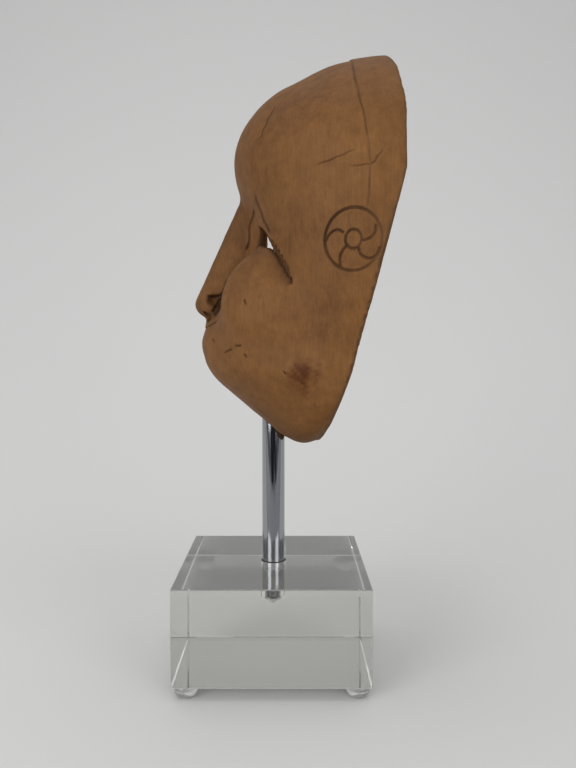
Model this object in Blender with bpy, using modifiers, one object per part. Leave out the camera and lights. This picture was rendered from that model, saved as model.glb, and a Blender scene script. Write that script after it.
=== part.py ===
"""A carved wooden mask on its display stand.

The mask is one hollow piece of wood, open behind. A chromed steel rod stands
in a hole drilled in a clear block and ends in a socket in the mask's solid
jaw. Four clear domed feet lift the block. Metres, +Z up, the face to -Y.
"""
import math

import bmesh
import bpy
import numpy as np

MM = 0.001

# Clear block, a cut length of 4 by 2 inch bar
BLOCK_SIDE = 101.6 * MM
BLOCK_HEIGHT = 50.8 * MM
BLOCK_CHAMFER = 0.5 * MM

# Domed feet under the block's corners
FOOT_DIAMETER = 12.7 * MM
FOOT_HEIGHT = 6.4 * MM
FOOT_INSET = 6.8 * MM
FOOT_DOME = 0.6
FOOT_DOME_SHARE = 0.85
FOOT_TOP_SHARE = 0.97
FOOT_ANGLES = (0, 20, 40, 60, 75)
FOOT_SIDES = 16

# Steel rod, half an inch thick
ROD_DIAMETER = 12.7 * MM
ROD_SUNK = 14.5 * MM
ROD_INTO_MASK = 30.0 * MM
ROD_CHAMFER = 0.6 * MM
ROD_SIDES = 32
DRILL_POINT = math.radians(118)

# Play between the rod and its two holes, and the gap left where pieces touch
ROD_PLAY = 0.35 * MM
TOUCH_GAP = 0.3 * MM

# Points closer than this are one point
SAME_PLACE = 0.001 * MM

# Mask: overall size, its height above the block and its walls
MASK_HEIGHT = 207.0 * MM
MASK_WIDTH = 148.0 * MM
MASK_ABOVE_BLOCK = 67.5 * MM
WALL = 9.0 * MM
SOCKET_ROOF = 7.0 * MM

# The carving keeps its proportions: one unit is a millimetre on a mask of this height
UNIT = MASK_HEIGHT / 207
HALF_WIDTH = MASK_WIDTH / 2

# The rim is cut straight in four runs. Its corners, behind the rod's axis and above the mask's tip
RIM_LOW = (39.2 * UNIT, 41.0 * UNIT)
RIM_HIGH = (62.4 * UNIT, 135.1 * UNIT)
RIM_CHIN_LEAN = math.radians(19)
RIM_CROWN_FROM = 178.0 * UNIT
RIM_CROWN_LEAN = math.radians(9)

# Slices lie square to the rim's long run and fan out over the crown and under the chin
RUN = math.hypot(RIM_HIGH[0] - RIM_LOW[0], RIM_HIGH[1] - RIM_LOW[1])
RIM_LEAN = math.atan2(RIM_HIGH[0] - RIM_LOW[0], RIM_HIGH[1] - RIM_LOW[1])
CROWN_FAN = math.radians(90) - RIM_LEAN
CHIN_FAN = math.radians(90) - RIM_CHIN_LEAN + RIM_LEAN
CROWN_STEP = 80.0 * UNIT
CHIN_STEP = 60.0 * UNIT
SLICE_TOP = RUN + CROWN_STEP * CROWN_FAN
SLICE_LOW = -CHIN_STEP * CHIN_FAN

# The middle line in the side view, crown to tip of the chin, without nose and cheeks
PROFILE = [
    (63.5, 207.0), (45.2, 205.4), (28.9, 201.8), (11.0, 193.4), (-1.5, 186.9), (-11.2, 177.5),
    (-18.1, 167.1), (-21.4, 154.0), (-20.2, 143.6), (-17.6, 134.0), (-15.0, 122.0), (-13.8, 106.0),
    (-15.0, 88.0), (-25.0, 68.0), (-34.0, 55.0), (-35.2, 44.5), (-30.7, 36.1), (-23.6, 29.1),
    (-6.7, 13.9), (6.3, 3.6), (17.3, 0.0), (23.5, 1.6),
]

# Steps used to follow a smooth curve
CURVE_STEPS = 900

# Half the rim's width along its run, as shares of half the mask's width
RIM_SHARES = [(0, 0.80), (6, 0.803), (22, 0.845), (44, 0.93), (64, 0.985), (82, 1.0), (94, 1.0)]

# Nose: a straight narrow ridge, its tip and its underside
NOSE_ROOT = (-17.5 * UNIT, 135.0 * UNIT)
NOSE_TIP = (-45.1 * UNIT, 74.9 * UNIT)
NOSE_BASE = (-34.0 * UNIT, 66.5 * UNIT)
NOSE_TOP = 146.0 * UNIT
NOSE_ROUND = 6.0 * UNIT
NOSE_STANDS_OUT = 14.0 * UNIT
NOSE_HALF_WIDTHS = [
    (64, 8.0), (72, 10.5), (80, 11.5), (90, 9.0), (104, 7.4), (122, 6.6), (131, 8.5), (140, 17.0),
]

# Rounded forms: centre and radii, beside the middle where the centre has a sideways place
CHEEK = ((27.5, 8.0, 73.0), (26.5, 34.5, 33.5))
MUZZLE = ((0.0, 4.0, 57.0), (37.0, 42.2, 31.0))
UPPER_LIP = ((0.0, -25.4, 65.5), (15.0, 11.2, 5.8))
LOWER_LIP = ((0.0, -28.0, 55.0), (15.0, 10.4, 8.0))
NOSE_WING = ((9.3, -31.5, 76.5), (4.6, 7.5, 7.5))
SOCKET = ((25.0, -28.0, 110.0), (22.5, 21.5, 29.0))
WING_GROOVE = ((13.4, -30.6, 80.0), (3.6, 5.4, 4.6))

# How softly the forms run into each other
BLEND_FACE = 9.0 * UNIT
BLEND_EYE = 2.0 * UNIT
BLEND_NOSE = 2.0 * UNIT
BLEND_SOCKET = 2.5 * UNIT
BLEND_LIPS = 4.5 * UNIT
BLEND_FROM = 74.0 * UNIT
BLEND_TO = 92.0 * UNIT

# Eye slits: the lines of the two lids in the front view, which meet at the corners
LOWER_LID = [
    (14.0, 102.0), (20.0, 105.2), (27.0, 106.6), (35.0, 105.0), (41.0, 102.2), (44.4, 98.6), (48.6, 91.4),
    (52.0, 84.2), (54.2, 79.8),
]
UPPER_LID = [
    (14.0, 102.0), (17.5, 108.0), (24.0, 113.4), (31.0, 114.4), (38.1, 111.9), (42.6, 107.0), (47.4, 98.9),
    (51.7, 90.2), (54.2, 79.8),
]
RIGHT_EYE_LIFT = 6.0 * UNIT
LIFT_LEAN = 0.8
LID_STEPS = 15

# Nostrils
NOSTRIL = ((7.6, -35.0, 70.6), (4.2, 4.4, 3.6))
NOSTRIL_SIDES = 12
NOSTRIL_RINGS = 7

# Mouth: a closed line with its ends lifted
MOUTH_HALF = 21.0 * UNIT
MOUTH_HEIGHT = 63.2 * UNIT
MOUTH_LIFT = 3.8 * UNIT
MOUTH_WIDTH = 0.6 * UNIT
MOUTH_CUT = 0.9 * UNIT
MOUTH_STEPS = 14

# Pinwheel rosette cut on each temple, and the line of the hair band
ROSETTE = (38.4 * UNIT, 103.4 * UNIT)
ROSETTE_RADIUS = 14.8 * UNIT
EYE_OF_ROSETTE = 4.3 * UNIT
ROSETTE_ARMS = 5
ROSETTE_TURN = math.radians(4)
ARM_SWING = math.radians(50)
ARM_CURL = 2.5
ARM_FROM_TO = (0.04, 0.97)
ARM_STEPS = 7
RING_STEPS = 32
HAIRLINE = 45.5 * UNIT
HAIRLINE_STEPS = 44
HAIRLINE_DROP = 6.0 * UNIT
HAIRLINE_DROP_STEPS = 8
ROSETTE_CLEAR = 1.5 * UNIT
CUT_WIDTH = 0.55 * UNIT
CUT_DEPTH = 0.7 * UNIT

# Mesh spacing on the carved form
ROW_SPACING = [
    (-90, 8.0), (-16, 5.0), (0, 4.0), (22, 2.8), (40, 3.6), (75, 4.2), (110, 7.0), (200, 11.0),
]
COLUMN_SPACING = [(0, 1.9), (11, 2.3), (20, 3.8), (45, 4.8), (60, 7.5), (90, 9.0)]
CAVITY_ROW = 11.0 * UNIT
CAVITY_COLUMNS = 22

# Places worked out from the sizes above
BLOCK_BASE_Z = FOOT_HEIGHT + TOUCH_GAP
BLOCK_TOP_Z = BLOCK_BASE_Z + BLOCK_HEIGHT
MASK_BASE_Z = BLOCK_TOP_Z + MASK_ABOVE_BLOCK
ROD_FOOT_Z = BLOCK_TOP_Z - ROD_SUNK
ROD_HEAD_Z = MASK_BASE_Z + ROD_INTO_MASK
CAVITY_FLOOR = ROD_INTO_MASK + TOUCH_GAP + SOCKET_ROOF
STAND_Y = (BLOCK_SIDE / 2 - RIM_HIGH[0]) / 2


def curve_through(points):
    """A smooth curve through a few (place, value) pairs, as a function of place."""
    places, values = np.array(sorted(points)).T
    slopes = np.gradient(values, places)

    def curve(place):
        place = np.clip(place, places[0], places[-1])
        i = np.clip(np.searchsorted(places, place) - 1, 0, len(places) - 2)
        run = places[i + 1] - places[i]
        t = (place - places[i]) / run
        start = (1 + 2 * t) * (1 - t) ** 2 * values[i] + t * (1 - t) ** 2 * run * slopes[i]
        end = t * t * (3 - 2 * t) * values[i + 1] + t * t * (t - 1) * run * slopes[i + 1]
        return start + end

    return curve


def scaled(points, along=UNIT, value=UNIT):
    """The same pairs in metres."""
    return [(place * along, size * value) for place, size in points]


def slice_frame(s):
    """Where the slice at s starts on the rim's middle line, and how steeply it looks up."""
    along = np.clip(s, 0, RUN)
    y = RIM_LOW[0] + along * math.sin(RIM_LEAN)
    z = RIM_LOW[1] + along * math.cos(RIM_LEAN)
    up = RIM_LEAN + np.maximum(s - RUN, 0) / CROWN_STEP - np.maximum(-s, 0) / CHIN_STEP
    return y, z, up


def slice_of(y, z):
    """The slice that a point of the side view lies in, and how far it is before the rim."""
    y, z = y - RIM_LOW[0], z - RIM_LOW[1]
    along = y * math.sin(RIM_LEAN) + z * math.cos(RIM_LEAN)
    forward = z * math.sin(RIM_LEAN) - y * math.cos(RIM_LEAN)
    above, below = np.maximum(along - RUN, 0), np.maximum(-along, 0)
    fan = CROWN_STEP * np.arctan2(above, forward) - CHIN_STEP * np.arctan2(below, forward)
    return np.clip(along, 0, RUN) + fan, np.hypot(forward, above + below)


def profile_reach():
    """How far the middle line stands before the rim, as a function of the slice."""
    y, z = np.array(PROFILE).T * UNIT
    length = np.concatenate([[0], np.cumsum(np.hypot(np.diff(y), np.diff(z)))])
    fine = np.linspace(0, length[-1], CURVE_STEPS)
    s, forward = slice_of(curve_through(zip(length, y))(fine), curve_through(zip(length, z))(fine))
    order = np.argsort(s)
    return lambda place: np.interp(place, s[order], forward[order])


reach = profile_reach()
half_width = curve_through(scaled(RIM_SHARES, value=HALF_WIDTH))
nose_half_width = curve_through(scaled(NOSE_HALF_WIDTHS))


def round_form(form, x, y, z):
    """Distance to a rounded form, below zero inside it. Both sides of the face are alike."""
    centre, radii = form
    offsets = (np.abs(x) - centre[0] * UNIT, y - centre[1] * UNIT, z - centre[2] * UNIT)
    near = np.sqrt(sum((o / (r * UNIT)) ** 2 for o, r in zip(offsets, radii)))
    steep = np.sqrt(sum((o / (r * UNIT) ** 2) ** 2 for o, r in zip(offsets, radii)))
    return near * (near - 1) / np.maximum(steep, 1e-9)


def joined(a, b, soft):
    """Two forms run into one, softly over the given distance."""
    mix = np.clip(0.5 + 0.5 * (b - a) / soft, 0, 1)
    return b + (a - b) * mix - soft * mix * (1 - mix)


def hollowed(a, b, soft):
    """The first form with the second taken out of it."""
    return -joined(-a, b, soft)


def nose_form(x, y, z):
    """Distance to the nose: a rounded wedge with a flat underside."""
    rise = np.hypot(NOSE_TIP[0] - NOSE_ROOT[0], NOSE_ROOT[1] - NOSE_TIP[1])
    lean = (NOSE_ROOT[0] - NOSE_TIP[0]) / rise
    upright = (NOSE_ROOT[1] - NOSE_TIP[1]) / rise
    before_ridge = (z - NOSE_TIP[1]) * lean - (y - NOSE_TIP[0]) * upright
    under = np.hypot(NOSE_BASE[0] - NOSE_TIP[0], NOSE_TIP[1] - NOSE_BASE[1])
    slope = (NOSE_TIP[1] - NOSE_BASE[1]) / under
    flat = (NOSE_BASE[0] - NOSE_TIP[0]) / under
    below = (NOSE_TIP[1] - z) * flat - (y - NOSE_TIP[0]) * slope
    depth = joined(-before_ridge, np.minimum(-below, NOSE_TOP - z), NOSE_ROUND)
    across = np.abs(x) / nose_half_width(z)
    inward = np.clip(1 - depth / NOSE_STANDS_OUT, 0, None)
    return (np.hypot(across, inward) - 1) * nose_half_width(z)


def face_form(x, y, z, s, forward):
    """Distance to the whole outer form of the mask, without the cuts."""
    across, before = x / half_width(s), forward / reach(s)
    near = np.hypot(across, before)
    steep = np.hypot(across / half_width(s), before / reach(s))
    head = near * (near - 1) / np.maximum(steep, 1e-9)
    head = hollowed(head, round_form(SOCKET, x, y, z), BLEND_SOCKET)
    share = np.clip((z - BLEND_FROM) / (BLEND_TO - BLEND_FROM), 0, 1)
    soft = BLEND_FACE + (BLEND_EYE - BLEND_FACE) * share
    lower = joined(round_form(CHEEK, x, y, z), round_form(MUZZLE, x, y, z), BLEND_FACE)
    face = joined(head, lower, soft)
    lips = joined(round_form(UPPER_LIP, x, y, z), round_form(LOWER_LIP, x, y, z), BLEND_NOSE)
    face = joined(face, lips, BLEND_LIPS)
    nose = joined(nose_form(x, y, z), round_form(NOSE_WING, x, y, z), BLEND_NOSE)
    nose = hollowed(nose, round_form(WING_GROOVE, x, y, z), BLEND_NOSE)
    return joined(face, nose, BLEND_NOSE)


def last_crossing(inside_out, longest, samples=84, halvings=24):
    """The longest distance at which a ray leaves the form, for many rays at once."""
    steps = np.linspace(0, longest, samples)
    inner = np.zeros_like(inside_out(steps[0]))
    for step in steps:
        inner = np.where(inside_out(step) < 0, step, inner)
    outer = inner + steps[1]
    for _ in range(halvings):
        middle = (inner + outer) / 2
        within = inside_out(middle) < 0
        inner = np.where(within, middle, inner)
        outer = np.where(within, outer, middle)
    return (inner + outer) / 2


def carved_grid(rows, columns):
    """Points of the outer form, one row for each slice and one column for each turn."""
    s, turn = np.meshgrid(rows, columns, indexing="ij")
    rim_y, rim_z, up = slice_frame(s)
    side, ahead = np.sin(turn), np.cos(turn)

    def at(r):
        forward = r * ahead
        return r * side, rim_y - forward * np.cos(up), rim_z + forward * np.sin(up), s, forward

    r = last_crossing(lambda distance: face_form(*at(distance)), MASK_HEIGHT)
    return np.stack(at(r)[:3], axis=-1)


def front_of(x, z):
    """The Y of the face's surface at a place of the front view."""
    x, z = np.broadcast_arrays(np.asarray(x, float), np.asarray(z, float))
    back = RIM_LOW[0]

    def at(distance):
        y = back - distance
        s, forward = slice_of(y, z)
        return face_form(x, y, z, s, forward)

    return back - last_crossing(at, MASK_HEIGHT / 2)


def side_of(y, z):
    """The X of the left side's surface at a place of the side view."""
    y, z = np.broadcast_arrays(np.asarray(y, float), np.asarray(z, float))
    s, forward = slice_of(y, z)
    return last_crossing(lambda x: face_form(x + 0 * y, y, z, s, forward), MASK_WIDTH)


def spaced(start, stop, spacing):
    """Places from start to stop, as far apart as the spacing asks for there."""
    fine = np.linspace(start, stop, CURVE_STEPS)
    asked = curve_through(spacing)((fine[1:] + fine[:-1]) / 2)
    count = np.concatenate([[0], np.cumsum(np.diff(fine) / asked)])
    return np.interp(np.linspace(0, count[-1], round(count[-1]) + 1), count, fine)


def new_object(name, bm, collection):
    """A mesh object from bmesh data, its faces turned outwards."""
    bm.normal_update()
    bmesh.ops.recalc_face_normals(bm, faces=bm.faces)
    mesh = bpy.data.meshes.new(name)
    bm.to_mesh(mesh)
    bm.free()
    obj = bpy.data.objects.new(name, mesh)
    collection.objects.link(obj)
    return obj


def finish(name, colour, roughness, metallic=0.0, clear=0.0, ior=1.5):
    """A plain Principled material."""
    material = bpy.data.materials.new(name)
    material.use_nodes = True
    shader = material.node_tree.nodes["Principled BSDF"]
    shader.inputs["Base Color"].default_value = (*colour, 1)
    shader.inputs["Roughness"].default_value = roughness
    shader.inputs["Metallic"].default_value = metallic
    shader.inputs["Transmission Weight"].default_value = clear
    shader.inputs["IOR"].default_value = ior
    return material


def sheet_body(name, points, back_y, collection):
    """A closed body: a grid of points, carried straight back from its edge to a flat back."""
    bm = bmesh.new()
    rows, columns = points.shape[:2]
    grid = [[bm.verts.new(points[i, j]) for j in range(columns)] for i in range(rows)]
    for i in range(rows - 1):
        for j in range(columns - 1):
            bm.faces.new((grid[i][j], grid[i][j + 1], grid[i + 1][j + 1], grid[i + 1][j]))
    edge = grid[0][:-1] + [row[-1] for row in grid[:-1]] + grid[-1][:0:-1] + [row[0] for row in grid[:0:-1]]
    behind = [bm.verts.new((v.co.x, back_y, v.co.z)) for v in edge]
    for k in range(len(edge)):
        n = (k + 1) % len(edge)
        bm.faces.new((edge[k], behind[k], behind[n], edge[n]))
    bm.faces.new(behind)
    bmesh.ops.remove_doubles(bm, verts=bm.verts, dist=SAME_PLACE)
    return new_object(name, bm, collection)


def prism(name, outline, start, stop, axis, collection):
    """A flat outline carried along X or Y."""
    bm = bmesh.new()
    if axis == "X":
        ends = [[bm.verts.new((x, a, b)) for a, b in outline] for x in (start, stop)]
    else:
        ends = [[bm.verts.new((a, y, b)) for a, b in outline] for y in (start, stop)]
    bm.faces.new(ends[0])
    bm.faces.new(ends[1][::-1])
    for k in range(len(outline)):
        n = (k + 1) % len(outline)
        bm.faces.new((ends[0][k], ends[1][k], ends[1][n], ends[0][n]))
    return new_object(name, bm, collection)


def groove(name, path, out, width, depth, collection, closed=False):
    """A three-sided cutter along a path on the surface: an edge inside, a flat side outside."""
    bm = bmesh.new()
    path, out = np.asarray(path), np.asarray(out)
    ahead = np.gradient(path, axis=0)
    if closed:
        ahead = np.roll(path, -1, axis=0) - np.roll(path, 1, axis=0)
    across = np.cross(ahead, out)
    across /= np.linalg.norm(across, axis=1)[:, None]
    above = path + out * depth
    corners = (path - out * depth, above + across * width * 2, above - across * width * 2)
    rings = [[bm.verts.new(corner[k]) for corner in corners] for k in range(len(path))]
    pairs = list(zip(rings, rings[1:] + rings[:1] if closed else rings[1:]))
    for here, there in pairs:
        for k in range(3):
            n = (k + 1) % 3
            bm.faces.new((here[k], here[n], there[n], there[k]))
    if not closed:
        bm.faces.new(rings[0])
        bm.faces.new(rings[-1][::-1])
    return new_object(name, bm, collection)


def turned(name, profile, sides, collection):
    """A profile of (radius, z), top to bottom, turned about Z."""
    bm = bmesh.new()
    points = [bm.verts.new((r, 0, z)) for r, z in profile]
    for a, b in zip(points, points[1:]):
        bm.edges.new((a, b))
    obj = new_object(name, bm, collection)
    screw = obj.modifiers.new("Turn", "SCREW")
    screw.steps = screw.render_steps = sides
    screw.use_merge_vertices = True
    screw.merge_threshold = SAME_PLACE
    return obj


def cut(obj, cutter):
    """Take the cutter out of the object, and show the cutter as wires only."""
    boolean = obj.modifiers.new("Cut " + cutter.name, "BOOLEAN")
    boolean.operation = "DIFFERENCE"
    boolean.solver = "EXACT"
    boolean.object = cutter
    cutter.hide_render = True
    cutter.display_type = "WIRE"


def surface_normal(points):
    """The way out of the form at each point, from how the distance grows."""
    points = np.asarray(points)
    step = 0.2 * UNIT
    grown = []
    for axis in np.eye(3):
        ends = []
        for sign in (1, -1):
            x, y, z = (points + sign * step * axis).T
            s, forward = slice_of(y, z)
            ends.append(face_form(x, y, z, s, forward))
        grown.append(ends[0] - ends[1])
    out = np.stack(grown, axis=-1)
    return out / np.linalg.norm(out, axis=1)[:, None]


def on_side(side, y, z):
    """Points of the side's surface, on the left for 1 and the right for -1."""
    y, z = np.asarray(y, float), np.asarray(z, float)
    return np.stack([side * side_of(y, z), y, z], axis=-1)


def rosette_cutters(side, tag, cutters):
    """The rosette's ring, its eye and its five swung arms."""
    made = []
    around = np.linspace(0, 2 * math.pi, RING_STEPS, endpoint=False)
    for name, radius, places in (("ring", ROSETTE_RADIUS, around), ("eye", EYE_OF_ROSETTE, around[::2])):
        path = on_side(side, ROSETTE[0] + radius * np.cos(places), ROSETTE[1] + radius * np.sin(places))
        out = surface_normal(path)
        made.append(groove(f"rosette_{name}_{tag}", path, out, CUT_WIDTH, CUT_DEPTH, cutters, True))
    run = np.linspace(*ARM_FROM_TO, ARM_STEPS)
    for arm in range(ROSETTE_ARMS):
        start = ROSETTE_TURN + 2 * math.pi * arm / ROSETTE_ARMS
        radius = EYE_OF_ROSETTE + run * (ROSETTE_RADIUS - EYE_OF_ROSETTE)
        places = start + ARM_SWING * run ** ARM_CURL
        path = on_side(side, ROSETTE[0] + radius * np.cos(places), ROSETTE[1] + radius * np.sin(places))
        out = surface_normal(path)
        made.append(groove(f"rosette_arm_{arm}_{tag}", path, out, CUT_WIDTH, CUT_DEPTH, cutters))
    return made


def hairline_cutter(cutters):
    """The line of the hair band, from one rosette over the crown to the other."""
    start = ROSETTE[1] + math.sqrt(ROSETTE_RADIUS ** 2 - (HAIRLINE - ROSETTE[0]) ** 2) + ROSETTE_CLEAR
    places = np.linspace(-math.pi / 2, math.pi / 2, HAIRLINE_STEPS)
    middle = RIM_HIGH[1]

    def out_along(angle):
        x0 = np.zeros_like(angle)

        def at(distance):
            x, z = x0 + distance * np.sin(angle), middle + distance * np.cos(angle)
            s, forward = slice_of(HAIRLINE + 0 * z, z)
            return face_form(x, HAIRLINE + 0 * z, z, s, forward)

        return last_crossing(at, MASK_HEIGHT / 2)

    far = out_along(places)
    crown = np.stack([far * np.sin(places), HAIRLINE + 0 * far, middle + far * np.cos(places)], axis=-1)
    drop = np.linspace(start, middle - HAIRLINE_DROP, HAIRLINE_DROP_STEPS)
    left = on_side(-1, HAIRLINE + 0 * drop, drop)
    right = on_side(1, HAIRLINE + 0 * drop[::-1], drop[::-1])
    path = np.concatenate([left, crown, right])
    return groove("hairline", path, surface_normal(path), CUT_WIDTH, CUT_DEPTH, cutters)


def eye_outline(side, lift):
    """The slit between the lids, its upper line raised by the lift."""
    inner, outer = LOWER_LID[0][0] * UNIT, LOWER_LID[-1][0] * UNIT
    t = np.linspace(0, 1, LID_STEPS)
    across = inner + t * (outer - inner)
    lower = curve_through(scaled(LOWER_LID))(across)
    upper = curve_through(scaled(UPPER_LID))(across) + lift * np.sin(math.pi * t ** LIFT_LEAN)
    outline = list(zip(across, lower)) + list(zip(across, upper))[-2:0:-1]
    return [(side * x, z) for x, z in outline]


def ellipsoid(name, form, side, collection):
    """A rounded cutter at its place on one side of the face."""
    centre, radii = form
    bm = bmesh.new()
    bmesh.ops.create_uvsphere(bm, u_segments=NOSTRIL_SIDES, v_segments=NOSTRIL_RINGS, radius=1)
    for v in bm.verts:
        v.co = [c * UNIT + p * r * UNIT for c, p, r in zip(centre, v.co, radii)]
        v.co.x *= side
    return new_object(name, bm, collection)


def build_mask(parts, cutters, wood):
    """The mask: the carved form, trimmed to the rim, hollowed, and cut."""
    rows = spaced(SLICE_LOW, SLICE_TOP, scaled(ROW_SPACING))
    turns = np.radians(spaced(0, 90, COLUMN_SPACING))
    columns = np.concatenate([-turns[:0:-1], turns])
    points = carved_grid(rows, columns)
    mask = sheet_body("mask", points, RIM_HIGH[0] + WALL, parts)

    cut_in = 0.5 * UNIT
    chin_run = crown_run = MASK_HEIGHT / 2
    chin_y = RIM_LOW[0] - cut_in - chin_run * math.sin(RIM_CHIN_LEAN)
    rim_line = [
        (chin_y, RIM_LOW[1] - chin_run * math.cos(RIM_CHIN_LEAN)),
        (RIM_LOW[0] - cut_in, RIM_LOW[1]),
        (RIM_HIGH[0] - cut_in, RIM_HIGH[1]),
        (RIM_HIGH[0] - cut_in, RIM_CROWN_FROM),
        (RIM_HIGH[0] - cut_in - crown_run * math.tan(RIM_CROWN_LEAN), RIM_CROWN_FROM + crown_run),
        (RIM_HIGH[0] + MASK_HEIGHT, RIM_CROWN_FROM + crown_run),
        (RIM_HIGH[0] + MASK_HEIGHT, RIM_LOW[1] - chin_run),
    ]
    cut(mask, prism("rim_trim", rim_line, -MASK_WIDTH, MASK_WIDTH, "X", cutters))

    floor = (CAVITY_FLOOR - RIM_LOW[1]) / math.cos(RIM_LEAN)
    count = round((SLICE_TOP - floor) / CAVITY_ROW)
    s, turn = np.meshgrid(
        np.linspace(max(floor, 0), SLICE_TOP, count),
        np.linspace(-math.pi / 2, math.pi / 2, CAVITY_COLUMNS),
        indexing="ij",
    )
    rim_y, rim_z, up = slice_frame(s)
    r = 1 / np.hypot(np.sin(turn) / (half_width(s) - WALL), np.cos(turn) / (reach(s) - WALL))
    forward = r * np.cos(turn)
    inside = np.stack([r * np.sin(turn), rim_y - forward * np.cos(up), rim_z + forward * np.sin(up)], axis=-1)
    cut(mask, sheet_body("cavity", inside, RIM_HIGH[0] + 2 * WALL, cutters))

    for side, tag, lift in ((1, "left", 0), (-1, "right", RIGHT_EYE_LIFT)):
        outline = eye_outline(side, lift)
        cut(mask, prism(f"eye_{tag}", outline, NOSE_TIP[0] - WALL, RIM_LOW[0], "Y", cutters))
        cut(mask, ellipsoid(f"nostril_{tag}", NOSTRIL, side, cutters))
        for cutter in rosette_cutters(side, tag, cutters):
            cut(mask, cutter)

    across = np.linspace(-MOUTH_HALF, MOUTH_HALF, MOUTH_STEPS)
    height = MOUTH_HEIGHT + MOUTH_LIFT * (across / MOUTH_HALF) ** 2
    line = np.stack([across, front_of(across, height), height], axis=-1)
    cut(mask, groove("mouth", line, surface_normal(line), MOUTH_WIDTH, MOUTH_CUT, cutters))
    cut(mask, hairline_cutter(cutters))

    hole = turned(
        "rod_socket",
        [
            (0, ROD_INTO_MASK + TOUCH_GAP),
            (ROD_DIAMETER / 2 + ROD_PLAY, ROD_INTO_MASK + TOUCH_GAP),
            (ROD_DIAMETER / 2 + ROD_PLAY, -WALL),
            (0, -WALL),
        ],
        ROD_SIDES,
        cutters,
    )
    cut(mask, hole)
    mask.data.materials.append(wood)
    return mask


def build_block(parts, cutters, acrylic):
    """The clear block with polished edges and the drilled hole for the rod."""
    bm = bmesh.new()
    bmesh.ops.create_cube(bm, size=1)
    for v in bm.verts:
        v.co = (v.co.x * BLOCK_SIDE, v.co.y * BLOCK_SIDE, (v.co.z + 0.5) * BLOCK_HEIGHT)
    block = new_object("block", bm, parts)
    edge = block.modifiers.new("Edges", "BEVEL")
    edge.width = BLOCK_CHAMFER
    edge.segments = 1
    radius = ROD_DIAMETER / 2 + ROD_PLAY
    floor = BLOCK_HEIGHT - ROD_SUNK - TOUCH_GAP
    tip = floor - radius / math.tan(DRILL_POINT / 2)
    hole = turned(
        "drilled_hole",
        [(0, BLOCK_HEIGHT + WALL), (radius, BLOCK_HEIGHT + WALL), (radius, floor), (0, tip)],
        ROD_SIDES,
        cutters,
    )
    cut(block, hole)
    block.data.materials.append(acrylic)
    return block, hole


def build_rod(parts, steel):
    """The rod, with both ends lightly chamfered."""
    radius = ROD_DIAMETER / 2
    length = ROD_HEAD_Z - ROD_FOOT_Z
    profile = [
        (0, length),
        (radius - ROD_CHAMFER, length),
        (radius, length - ROD_CHAMFER),
        (radius, ROD_CHAMFER),
        (radius - ROD_CHAMFER, 0),
        (0, 0),
    ]
    rod = turned("rod", profile, ROD_SIDES, parts)
    rod.data.materials.append(steel)
    return rod


def build_foot(name, parts, rubber):
    """A domed foot: a flat top that sticks to the block and a flattened dome below."""
    radius = FOOT_DIAMETER / 2
    angles = [math.radians(a) for a in FOOT_ANGLES]
    rise = [1 - math.sin(a) / math.sin(angles[-1]) for a in angles]
    height = FOOT_HEIGHT * FOOT_DOME_SHARE
    dome = [(radius * math.cos(a) ** FOOT_DOME, height * z) for a, z in zip(angles, rise)]
    profile = [(0, FOOT_HEIGHT), (radius * FOOT_TOP_SHARE, FOOT_HEIGHT)] + dome + [(0, 0)]
    foot = turned(name, profile, FOOT_SIDES, parts)
    foot.data.materials.append(rubber)
    return foot


def build():
    """Everything, hung from one empty that stands at the centre of the whole."""
    for obj in list(bpy.data.objects):
        bpy.data.objects.remove(obj, do_unlink=True)
    parts = bpy.data.collections.new("mask_on_stand")
    cutters = bpy.data.collections.new("mask_on_stand_cutters")
    for collection in (parts, cutters):
        bpy.context.scene.collection.children.link(collection)

    wood = finish("carved_wood", (0.212, 0.105, 0.040), 0.65)
    steel = finish("chromed_steel", (0.60, 0.61, 0.63), 0.12, metallic=1.0)
    acrylic = finish("clear_acrylic", (0.95, 0.98, 0.97), 0.02, clear=1.0, ior=1.49)
    rubber = finish("clear_polyurethane", (0.90, 0.91, 0.90), 0.25, clear=0.8, ior=1.5)

    stand = bpy.data.objects.new("stand", None)
    parts.objects.link(stand)
    stand.location = (0, STAND_Y, 0)

    build_mask(parts, cutters, wood)
    for obj in list(cutters.objects) + [parts.objects["mask"]]:
        obj.parent = stand
        obj.location = (0, 0, MASK_BASE_Z)
    block, hole = build_block(parts, cutters, acrylic)
    for obj in (block, hole):
        obj.parent = stand
        obj.location = (0, 0, BLOCK_BASE_Z)
    rod = build_rod(parts, steel)
    rod.parent = stand
    rod.location = (0, 0, ROD_FOOT_Z)
    reach_out = BLOCK_SIDE / 2 - FOOT_INSET
    for end, y in (("front", -reach_out), ("back", reach_out)):
        for hand, x in (("left", reach_out), ("right", -reach_out)):
            foot = build_foot(f"foot_{end}_{hand}", parts, rubber)
            foot.parent = stand
            foot.location = (x, y, 0)


build()
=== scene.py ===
"""A carved wooden mask on a chromed rod and a clear block, seen from its left side."""
import math

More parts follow.
